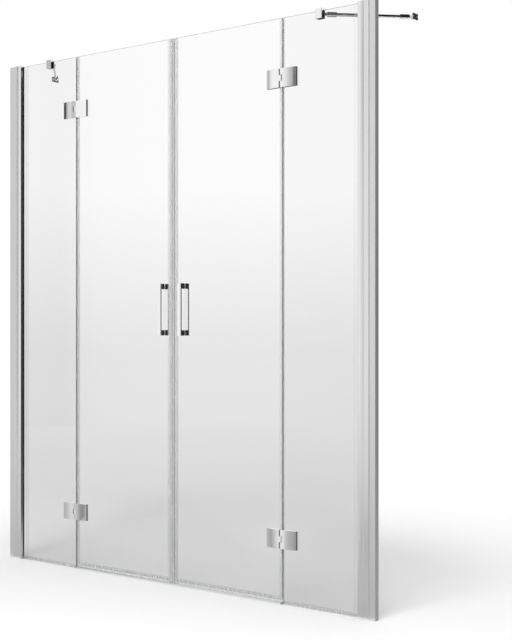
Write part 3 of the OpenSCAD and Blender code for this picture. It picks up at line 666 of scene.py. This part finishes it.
def sweep_loops():
    top, roof, tip = sweep_high.z, door_low.z - AIR, sweep_low.z
    web = door_low.z - SEAL_WALL
    return [[(-OUTER, top), (-OUTER, web), (BLADE_ROOT[0], web), (BLADE_TIP[0], tip), (BLADE_TIP[1], tip),
             (BLADE_ROOT[1], web), (OUTER, web), (OUTER, top), (INNER, top), (INNER, roof),
             (-INNER, roof), (-INNER, top)]]


print("the fin reaches", round(FIN_REACH / MM, 1), "mm past the glass")

# %% Put the seals on the doors
hinge_runs = [(seal_low.z, lower_hinge[0].z - SEAL_JOINT),
              (lower_hinge[1].z + SEAL_JOINT, upper_hinge[0].z - SEAL_JOINT),
              (upper_hinge[1].z + SEAL_JOINT, seal_high.z)]
for side, sign in SIDES.items():
    body = f"door_{side}"
    extrude_piece(f"finned_seal_{side}", body, [f"hinge_seal_{side}"], seal_plastic,
                  SEAL_CORNER, [upright_run(hinge_seal_loops(), side, *ends) for ends in hinge_runs])
    extrude_piece(f"closing_seal_{side}", body, [f"magnet_seal_{side}"], seal_plastic,
                  SEAL_CORNER, [upright_run(magnet_seal_loops(), side, magnet_low.z, magnet_high.z)])
    sweep_ends = sorted((-sign * sweep_low.x, -sign * sweep_high.x))
    extrude_piece(f"wiping_seal_{side}", body, [f"door_sweep_{side}"], seal_plastic,
                  SWEEP_CORNER, [level_run(sweep_loops(), *sweep_ends)])

# %% [markdown]
# ## The threshold
#
# A low bar with rounded upper edges runs under both doors, to keep the water in. Its two ends are
# closed by moulded caps.

# %% Threshold bar and its end caps
SILL_RADIUS = 3 * MM
SILL_CORNER = 0.15 * MM
SILL_GAP = 0.1 * MM
bar_low, bar_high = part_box("threshold_bar")
cap_low, cap_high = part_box("threshold_end_caps")


def quarter(y, start, steps=6):
    z = bar_high.z - SILL_RADIUS
    turns = [start + math.pi / 2 * i / steps for i in range(steps + 1)]
    return [(y + SILL_RADIUS * math.cos(t), z + SILL_RADIUS * math.sin(t)) for t in turns]


sill_loops = [[(bar_low.y, 0), (bar_high.y, 0), *quarter(bar_high.y - SILL_RADIUS, 0),
               *quarter(bar_low.y + SILL_RADIUS, math.pi / 2)]]
extrude_piece("polished_threshold", "frame", ["threshold_bar"], sill_metal, SILL_CORNER, [
    level_run(sill_loops, bar_low.x + SILL_GAP, bar_high.x - SILL_GAP)])
extrude_piece("moulded_ends", "frame", ["threshold_end_caps"], moulded, SILL_CORNER, [
    level_run(sill_loops, *ends) for ends in ((cap_low.x, bar_low.x), (bar_high.x, cap_high.x))])

# %% [markdown]
# ## Fittings with softened edges
#
# Hinges, handles and braces are cast or milled and then polished, which rounds every edge a
# little. A razor-sharp edge never glints, and a real one always does. So each fitting is a copy
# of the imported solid: its loose triangles are welded, flat faces are made whole again, and its
# sharp edges get a narrow bevel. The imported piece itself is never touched.

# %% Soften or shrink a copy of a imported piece
SHARP = math.radians(25)
FLAT = math.radians(0.5)
SAME_POINT = 0.001 * MM
HAIR = 0.03 * MM


def welded_copy(node):
    copy = bmesh.new()
    copy.from_mesh(frame["nodes"][node].data)
    bmesh.ops.remove_doubles(copy, verts=copy.verts, dist=SAME_POINT)
    bmesh.ops.dissolve_limit(copy, angle_limit=FLAT, verts=copy.verts, edges=copy.edges)
    return copy


def show_copy(copy, node, name, finish):
    mesh = bpy.data.meshes.new(name)
    copy.to_mesh(mesh)
    copy.free()
    mesh.materials.append(finish)
    show_piece(name, mesh, frame["nodes"][node]["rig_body"], [node])


def soften(node, name, width, finish):
    copy = welded_copy(node)
    edges = [e for e in copy.edges if len(e.link_faces) == 2 and e.calc_face_angle(0) > SHARP]
    if width:
        bmesh.ops.bevel(copy, geom=edges, offset=width, segments=2, profile=0.6, affect="EDGES",
                        clamp_overlap=True, offset_type="OFFSET")
    show_copy(copy, node, name, finish)


def shrink(node, name, finish):
    copy = welded_copy(node)
    copy.normal_update()
    for vertex in copy.verts:
        vertex.co -= vertex.normal * HAIR
    show_copy(copy, node, name, finish)


print("edges sharper than", round(math.degrees(SHARP)), "degrees get a bevel")

# %% [markdown]
# Each hinge has a half on the panel and a half on the door, with back plates behind the glass.
# The pads between metal and glass are shrunk by a hair, so that no two faces share a place.

# %% Hinges
HINGE_EDGE, PIN_EDGE = 0.5 * MM, 0.4 * MM
for side in SIDES:
    for height in ("upper", "lower"):
        place = f"{height}_{side}"
        soften(f"fixed_leaf_{place}", f"hinge_{place}_panel_half", HINGE_EDGE, chrome)
        soften(f"door_leaf_{place}", f"hinge_{place}_door_half", HINGE_EDGE, chrome)
    soften(f"door_back_plates_{side}", f"hinge_backs_{side}", HINGE_EDGE, chrome)
    shrink(f"door_leaf_gaskets_{side}", f"hinge_pads_{side}", rubber)
    soften(f"hinge_bushes_{side}", f"white_bushes_{side}", 0.0, nylon)
soften("fixed_back_plates", "hinge_backs_on_panels", HINGE_EDGE, chrome)
shrink("fixed_leaf_gaskets", "hinge_pads_on_panels", rubber)
soften("hinge_pins", "steel_hinge_pins", PIN_EDGE, steel)

# %% [markdown]
# Hands wear on the handles and the clamps, so these have the roundest edges. Tubes stay as they
# are: their ends are closed by sockets.

# %% Handles
HAND_EDGE = 0.6 * MM
for side in SIDES:
    for face in ("outer", "inner"):
        soften(f"handle_{face}_{side}", f"polished_handle_{face}_{side}", HAND_EDGE, chrome)
    shrink(f"handle_washers_{side}", f"white_washers_{side}", nylon)

# %% Braces
PLATE_EDGE, PIVOT_EDGE = 0.5 * MM, 0.3 * MM
for side in SIDES:
    soften(f"brace_clamp_{side}", f"glass_clamp_{side}", HAND_EDGE, chrome)
    soften(f"brace_wall_plate_{side}", f"wall_plate_{side}", PLATE_EDGE, chrome)
    soften(f"brace_tube_{side}", f"polished_tube_{side}", 0.0, chrome)
soften("brace_sockets", "tube_sockets", HAND_EDGE, chrome)
soften("brace_pivots", "pivot_pins", PIVOT_EDGE, steel)
shrink("clamp_pads", "clear_clamp_pads", lip_plastic)

# %% [markdown]
# ## Screws
#
# Socket-head screws hold the hinge leaves and lock the profiles. They're all alike but for their
# size, so they're a job for one tree. It builds a screw from simple skins: walls are open cones,
# ends are discs, and the rim is a disc with a hexagonal hole.

# %% Skins of a screw
SCREW_SIDES = 32
HEX_SIDES = 6
CHAMFER = 0.3 * MM


def feed(tree, value, node, socket):
    if isinstance(value, float):
        node.inputs[socket].default_value = value
    else:
        wire(tree, (*value, node, socket))


def subtract(tree, a, b):
    node = add_math(tree, "SUBTRACT")
    feed(tree, a, node, 0)
    feed(tree, b, node, 1)
    return node, "Value"


def lifted(tree, geometry, z):
    place = tree.nodes.new("ShaderNodeCombineXYZ")
    move = tree.nodes.new("GeometryNodeTransform")
    wire(tree, (*z, place, "Z"), (*geometry, move, "Geometry"), (place, "Vector", move, "Translation"))
    return move, "Geometry"


def wall(tree, sides, bottom, top, height):
    cone = add_node(tree, "GeometryNodeMeshCone", {"fill_type": "NONE"}, Vertices=sides)
    for value, socket in ((top, "Radius Top"), (bottom, "Radius Bottom"), (height, "Depth")):
        feed(tree, value, cone, socket)
    return cone, "Mesh"


def disc(tree, sides, radius):
    circle = add_node(tree, "GeometryNodeMeshCircle", {"fill_type": "NGON"}, Vertices=sides)
    wire(tree, (*radius, circle, "Radius"))
    return circle, "Mesh"


def flipped(tree, geometry):
    node = tree.nodes.new("GeometryNodeFlipFaces")
    wire(tree, (*geometry, node, "Mesh"))
    return node, "Mesh"


def rim_skin(tree, outer, inner):
    both = tree.nodes.new("GeometryNodeJoinGeometry")
    for sides, radius in ((SCREW_SIDES, outer), (HEX_SIDES, inner)):
        circle = add_node(tree, "GeometryNodeCurvePrimitiveCircle", Resolution=sides)
        wire(tree, (*radius, circle, "Radius"), (circle, "Curve", both, "Geometry"))
    fill = add_node(tree, "GeometryNodeFillCurve", {"mode": "TRIANGLES"})
    wire(tree, (both, "Geometry", fill, "Curve"))
    return fill, "Mesh"


def screw_skins(tree, given):
    head, height = (given, "Head radius"), (given, "Head height")
    hexagon, depth = (given, "Socket radius"), (given, "Socket depth")
    shank, length = (given, "Shank radius"), (given, "Shank length")
    rim, shoulder = subtract(tree, head, CHAMFER), subtract(tree, height, CHAMFER)
    recess, tip = subtract(tree, height, depth), subtract(tree, 0.0, length)
    return [
        lifted(tree, rim_skin(tree, rim, hexagon), height),
        lifted(tree, wall(tree, SCREW_SIDES, head, rim, CHAMFER), shoulder),
        wall(tree, SCREW_SIDES, head, head, shoulder),
        lifted(tree, flipped(tree, wall(tree, HEX_SIDES, hexagon, hexagon, depth)), recess),
        lifted(tree, disc(tree, HEX_SIDES, hexagon), recess),
        flipped(tree, disc(tree, SCREW_SIDES, head)),
        lifted(tree, wall(tree, SCREW_SIDES, shank, shank, length), tip),
        lifted(tree, flipped(tree, disc(tree, SCREW_SIDES, shank)), tip),
        disc(tree, SCREW_SIDES, shank)]

# %% [markdown]
# The skins are welded into one screw. The tree puts it on every point it is given, lays it along
# Y, and turns each by a random angle, because nobody stops a screw at the same angle twice.

# %% Build the screw tree
def build_screw_tree():
    tree, given, result = start_tree("socket screws", Float=[
        "Head radius", "Head height", "Socket radius", "Socket depth", "Shank radius", "Shank length"],
        Material=["Finish"], Int=["Seed"])
    skins = screw_skins(tree, given)
    screw = tree.nodes.new("GeometryNodeJoinGeometry")
    for skin in reversed(skins):
        wire(tree, (*skin, screw, "Geometry"))
    welded = add_node(tree, "GeometryNodeMergeByDistance", Distance=WELD)
    spin = add_node(tree, "FunctionNodeRandomValue", {"data_type": "FLOAT"})
    spin.inputs[3].default_value = math.tau
    angle = tree.nodes.new("ShaderNodeCombineXYZ")
    spun = tree.nodes.new("FunctionNodeEulerToRotation")
    lean = add_node(tree, "FunctionNodeEulerToRotation", Euler=(math.radians(-90), 0, 0))
    facing = add_node(tree, "FunctionNodeRotateRotation", {"rotation_space": "LOCAL"})
    placed = tree.nodes.new("GeometryNodeInstanceOnPoints")
    wire(tree, (screw, "Geometry", welded, "Geometry"), (given, "Seed", spin, "Seed"),
         (spin, 1, angle, "Z"), (angle, "Vector", spun, "Euler"), (lean, "Rotation", facing, "Rotation"),
         (spun, "Rotation", facing, "Rotate By"), (given, "Geometry", placed, "Points"),
         (welded, "Geometry", placed, "Instance"), (facing, "Rotation", placed, "Rotation"))
    end_tree(tree, given, placed, "Instances", result)
    return tree


screw_tree = build_screw_tree()
print("screw tree has", len(screw_tree.nodes), "nodes")

# %% [markdown]
# Two screws hold each leaf, from the wet side. Three more on each side lock the glazing profile on
# the wall channel, once the front stands plumb.

# %% Place the screws
LEAF_SCREW_X = 28 * MM
LEAF_SCREW_HALF = 15 * MM
LOCK_HEIGHTS = (0.3, 1.0, 1.7)
HINGE_HEIGHTS = [(low.z + high.z) / 2 for low, high in (lower_hinge, upper_hinge)]
leaf_head = {"Head radius": 5 * MM, "Head height": 3 * MM, "Socket radius": 2.4 * MM,
             "Socket depth": 2 * MM, "Shank radius": 3 * MM, "Shank length": 19 * MM, "Seed": 4}
lock_head = {"Head radius": 3.6 * MM, "Head height": 1.6 * MM, "Socket radius": 1.7 * MM,
             "Socket depth": 1 * MM, "Shank radius": 2 * MM, "Shank length": 3.3 * MM, "Seed": 9}


def set_screws(name, body, node, places, sizes):
    start = bpy.data.meshes.new("screw places")
    start.from_pydata(places, [], [])
    mesh = run_tree(screw_tree, start, {**sizes, "Finish": steel})
    show_piece(name, mesh, body, [node])


def leaf_screw_places(x):
    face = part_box("fixed_back_plates")[1].y - leaf_head["Head height"]
    return [(x, face, z + s) for z in HINGE_HEIGHTS for s in (-LEAF_SCREW_HALF, LEAF_SCREW_HALF)]


panel_places = []
for side, sign in SIDES.items():
    line = sign * HINGE_LINE
    panel_places += leaf_screw_places(line + sign * LEAF_SCREW_X)
    set_screws(f"hinge_screws_{side}", f"door_{side}", f"door_leaf_screws_{side}",
               leaf_screw_places(line - sign * LEAF_SCREW_X), leaf_head)
set_screws("hinge_screws_on_panels", "frame", "fixed_leaf_screws", panel_places, leaf_head)

lock_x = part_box("adjuster_screws")[1].x - lock_head["Head radius"]
lock_places = [(sign * lock_x, profile_high.y, z) for sign in SIDES.values() for z in LOCK_HEIGHTS]
set_screws("profile_lock_screws", "frame", "adjuster_screws", lock_places, lock_head)

# %% [markdown]
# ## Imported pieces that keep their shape
#
# Some pieces need no new shape, only a finish: the glass itself, whose ground bevels are already
# in the model, and what is hidden inside, such as studs, grub screws and the magnet strips.

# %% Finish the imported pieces
finishes = {"brace_grub_screws": steel}
for side in SIDES:
    finishes |= {f"fixed_glass_{side}": fixed_glass, f"door_glass_{side}": door_glass,
                 f"magnet_strip_{side}": ferrite, f"handle_studs_{side}": steel}
for node, finish in finishes.items():
    shown = frame["nodes"][node]
    shown.data.materials.clear()
    shown.data.materials.append(finish)
print("finished", len(finishes), "packed pieces")

# %% [markdown]
# ## Floor
#
# The front stands on a plain pale floor that runs out to white. Its fade follows one over the
# distance, so that it looks even from a low camera. Seen directly, the floor is white within three
# metres; through glass it fades more slowly and stays a little below white. It has no shine at
# all, because a shine would show the cards that stand around the front.

# %% Finish of the floor
FAR_LEVEL = 0.80
FLOOR_FADES = (("Is Camera Ray", 1.0, 1.0, 2.6), ("Is Transmission Ray", FAR_LEVEL, 2.0, 30.0))

floor_finish, tree, shader = start_material(
    "pale floor", Base_Color=(0.92, 0.92, 0.925, 1), Roughness=0.6, Specular_IOR_Level=0.0)
place = tree.nodes.new("ShaderNodeTexCoord")
reach = add_node(tree, "ShaderNodeVectorMath", {"operation": "LENGTH"})
closeness = add_math(tree, "DIVIDE")
closeness.inputs[0].default_value = 1.0
rays = tree.nodes.new("ShaderNodeLightPath")
wire(tree, (place, "Object", reach, 0), (reach, "Value", closeness, 1))
surface = shader, "BSDF"
for ray, level, near, far in FLOOR_FADES:
    fade = add_node(tree, "ShaderNodeMapRange", {"interpolation_type": "SMOOTHSTEP"},
                    From_Min=1 / near, From_Max=1 / far)
    share = add_math(tree, "MULTIPLY")
    glow = add_node(tree, "ShaderNodeEmission", Color=(1, 1, 1, 1), Strength=level)
    choose = tree.nodes.new("ShaderNodeMixShader")
    wire(tree, (closeness, "Value", fade, "Value"), (fade, "Result", share, 0), (rays, ray, share, 1),
         (share, "Value", choose, "Fac"), (*surface, choose, 1), (glow, "Emission", choose, 2))
    surface = choose, "Shader"
wire(tree, (*surface, tree.nodes["Material Output"], "Surface"))
print("made", floor_finish.name)

# %% Lay the floor
FLOOR_HALF = 40
floor_mesh = bpy.data.meshes.new("floor")
floor_mesh.from_pydata([(x * FLOOR_HALF, y * FLOOR_HALF, 0) for x, y in ((-1, -1), (1, -1), (1, 1), (-1, 1))],
                       [], [(0, 1, 2, 3)])
floor_mesh.materials.append(floor_finish)
floor = add_object("floor", floor_mesh)
print("the floor runs", FLOOR_HALF, "m each way")

# %% [markdown]
# ## Sky and lamp
#
# An even sky gives most of the light, and one big soft lamp from the camera's side models the
# forms. The sky is grey as a light, and white where the camera, a mirror or glass looks at it. A
# lamp in the mirrors would leave a hard square there, so mirrors and glass don't see it.

# %% Sky
SKY_LEVEL = 0.62

world = bpy.data.worlds.new("studio sky")
bpy.context.scene.world = world
world.use_nodes = True
sky = world.node_tree
even = sky.nodes["Background"]
even.inputs["Color"].default_value = (1, 1, 1, 1)
even.inputs["Strength"].default_value = SKY_LEVEL
white = add_node(sky, "ShaderNodeBackground", Color=(1, 1, 1, 1), Strength=1.0)
rays = sky.nodes.new("ShaderNodeLightPath")
first, second = add_math(sky, "MAXIMUM"), add_math(sky, "MAXIMUM")
choose = sky.nodes.new("ShaderNodeMixShader")
wire(sky, (rays, "Is Camera Ray", first, 0), (rays, "Is Glossy Ray", first, 1), (first, "Value", second, 0),
     (rays, "Is Transmission Ray", second, 1), (second, "Value", choose, "Fac"),
     (even, "Background", choose, 1), (white, "Background", choose, 2),
     (choose, "Shader", sky.nodes["World Output"], "Surface"))
print("sky level", SKY_LEVEL)

# %% Soft lamp
LAMP_PLACE, LAMP_TARGET = Vector((1.8, -4.2, 4.6)), Vector((0, 0, 0.9))
LAMP_SIZE, LAMP_POWER = 4.0, 290

lamp = add_object("soft lamp", bpy.data.lights.new("soft lamp", "AREA"))
lamp.data.shape = "SQUARE"
lamp.data.size = LAMP_SIZE
lamp.data.energy = LAMP_POWER
lamp.location = LAMP_PLACE
lamp.rotation_euler = (LAMP_TARGET - LAMP_PLACE).to_track_quat("-Z", "Y").to_euler()
lamp.visible_glossy = False
lamp.visible_transmission = False
print("lamp hung", round(LAMP_PLACE.z, 1), "m up")

# %% [markdown]
# ## Cards that only mirrors see
#
# Clear glass and chrome show their surroundings and little else. So cards stand and lie around
# the front, as in a studio. Each is a sheet with a level of light at every corner, and answers
# only rays that a mirror has sent on. Some ask for more: the ray has to have passed glass as well.
# They darken what is behind a panel and leave the metal in front of it bright.

# %% Make a card
def make_card(name, corners, faces, levels, ray="Glossy Depth", through_glass=False):
    mesh = bpy.data.meshes.new(name)
    mesh.from_pydata(corners, [], faces)
    mesh.attributes.new("level", "FLOAT", "POINT").data.foreach_set("value", levels)
    material, tree, shader = start_material(name)
    tree.nodes.remove(shader)
    level = add_node(tree, "ShaderNodeAttribute", {"attribute_name": "level"})
    glow = tree.nodes.new("ShaderNodeEmission")
    rays = tree.nodes.new("ShaderNodeLightPath")
    unseen = tree.nodes.new("ShaderNodeBsdfTransparent")
    choose = tree.nodes.new("ShaderNodeMixShader")
    answered = rays, ray
    if through_glass:
        both = add_math(tree, "MULTIPLY")
        both.use_clamp = True
        wire(tree, (*answered, both, 0), (rays, "Transmission Depth", both, 1))
        answered = both, "Value"
    wire(tree, (level, "Fac", glow, "Strength"), (*answered, choose, "Fac"), (unseen, "BSDF", choose, 1),
         (glow, "Emission", choose, 2), (choose, "Shader", tree.nodes["Material Output"], "Surface"))
    mesh.materials.append(material)
    card = add_object(name, mesh)
    for kind in ("camera", "diffuse", "volume_scatter", "shadow"):
        setattr(card, f"visible_{kind}", False)
    print(name, "has", len(faces), "faces")

# %% [markdown]
# Four shapes of card do all the work: one bent upright around the front, one laid on the level,
# one fanned out on the floor round a hinge, and a far ring that glass sees as the horizon.

# %% Shapes of cards
FAN_FADES = (0.3, 0.4)
FLOOR_LEVEL = 0.57


def aim(heading):
    """The level direction at a heading in degrees from -Y towards -X."""
    turn = math.radians(heading)
    return Vector((-math.sin(turn), -math.cos(turn), 0))


def stand_card(name, distance, low, high, stops, through_glass=False):
    """A bent upright card around the front; its stops are pairs of a heading and a level."""
    corners = [aim(heading) * distance + Vector((0, 0, z)) for heading, level in stops for z in (low, high)]
    faces = [(2 * i, 2 * i + 2, 2 * i + 3, 2 * i + 1) for i in range(len(stops) - 1)]
    levels = [level for heading, level in stops for z in (low, high)]
    make_card(name, corners, faces, levels, through_glass=through_glass)


def lay_card(name, start, heading, width, height, stops, through_glass=False):
    """A level card from a start point along a heading; its stops are pairs of a distance and a level."""
    along, across = aim(heading), aim(heading + 90) * width / 2
    foot = Vector((*start, height))
    corners = [foot + along * far + side for far, level in stops for side in (-across, across)]
    faces = [(2 * i, 2 * i + 1, 2 * i + 3, 2 * i + 2) for i in range(len(stops) - 1)]
    levels = [level for far, level in stops for side in (-1, 1)]
    make_card(name, corners, faces, levels, through_glass=through_glass)


def fan_card(name, centre, near, far, height, stops):
    """A level card fanned round a point; its near and far edges fade into the floor around it."""
    rows = [(near - FAN_FADES[0], 0), (near, 1), (far, 1), (far + FAN_FADES[1], 0)]
    foot = Vector((*centre, height))
    corners = [foot + aim(heading) * reach for heading, level in stops for reach, full in rows]
    levels = [level if full else FLOOR_LEVEL for heading, level in stops for reach, full in rows]
    faces = [(4 * i + j, 4 * i + j + 1, 4 * i + j + 5, 4 * i + j + 4)
             for i in range(len(stops) - 1) for j in range(3)]
    make_card(name, corners, faces, levels)


def ring_card(name, reach, height, level_low, level_high, sides=64):
    """A ring far around the front, seen only through glass; its levels run from its foot to its top."""
    turns = [math.tau * i / sides for i in range(sides)]
    corners = [(reach * math.cos(t), reach * math.sin(t), z) for z in (0, height) for t in turns]
    faces = [(i, (i + 1) % sides, sides + (i + 1) % sides, sides + i) for i in range(sides)]
    levels = [level_low] * sides + [level_high] * sides
    make_card(name, corners, faces, levels, ray="Is Transmission Ray")

# %% [markdown]
# The upright cards give the long bands in the profiles, the tubes and the upper hinges. The lower
# hinges look down, so their bands lie on the floor. Distances and heights are in metres.

# %% Place the cards
DARK = 0.02
stand_card("card in front", 7, 0, 12, [
    (-75, DARK), (-45, DARK), (-28, 0.55), (0, 0.62), (8, 0.64), (14, 0.68), (24, 0.76),
    (27, 0.86), (31, 0.95), (33, 0.99), (44, 0.97), (47.5, 0.88), (50.5, 0.50), (53, 0.62), (56, 0.78),
    (60, 0.60), (62, 0.45), (63, 0.08), (68, 0.08), (70, 0.50)])
stand_card("card for the upper hinge", 6.8, 2.8, 3.5, [
    (9, 0.60), (11, 0.16), (17, 0.20), (18, 0.46), (20.5, 0.54), (24, 0.72), (27, 0.86)])
stand_card("dark card behind", 7, 0, 12, [(196, 0.6), (208, DARK), (246, DARK), (256, 0.6)], True)
stand_card("dark card beside the wall", 7.2, 0, 12, [(200, 0.6), (206, DARK), (217, DARK), (219, 0.4)])
lay_card("pale floor in front", (-19.2, -0.03), 0, 41.6, 2 * MM, [(0, 0.5), (7, 0.96), (40, 1.0)])
lay_card("dark floor beside the camera", (1.6, -4.53), 270, 9, 3 * MM, [(0, 0.6), (1.6, DARK), (11.4, DARK)])
fan_card("floor for the lower right hinge", (0.505, -0.02), 1.0, 1.55, 4 * MM, [
    (6, FLOOR_LEVEL), (10, 0.30), (16, 0.32), (19, 0.40), (25, 0.47), (30, 0.60), (33, 0.84), (38, 0.88),
    (43, 0.74), (47, 0.55), (50, 0.40), (54, 0.46), (60, FLOOR_LEVEL)])
fan_card("floor for the lower left hinge", (-0.505, -0.02), 1.15, 1.8, 4 * MM, [
    (24, FLOOR_LEVEL), (30, 0.28), (35, 0.32), (39, 0.44), (42, 0.60), (46, 0.72), (52, 0.74), (57, 0.62),
    (62, 0.52), (66, 0.46), (72, FLOOR_LEVEL)])
lay_card("dark floor behind", (0, 0.3), 180, 14, 2 * MM, [(0, 0.5), (0.4, DARK), (12, DARK)], True)
lay_card("dark ceiling", (5.4, 3), 0, 9.2, 6, [(0, DARK), (9, DARK)])
ring_card("ring behind the glass", 38, 5.5, FAR_LEVEL, 1.0)

# %% [markdown]
# ## Finish
#
# The view transform stays plain, so that a colour renders as it is written.

# %% Finish
bpy.context.scene.view_settings.view_transform = "Standard"
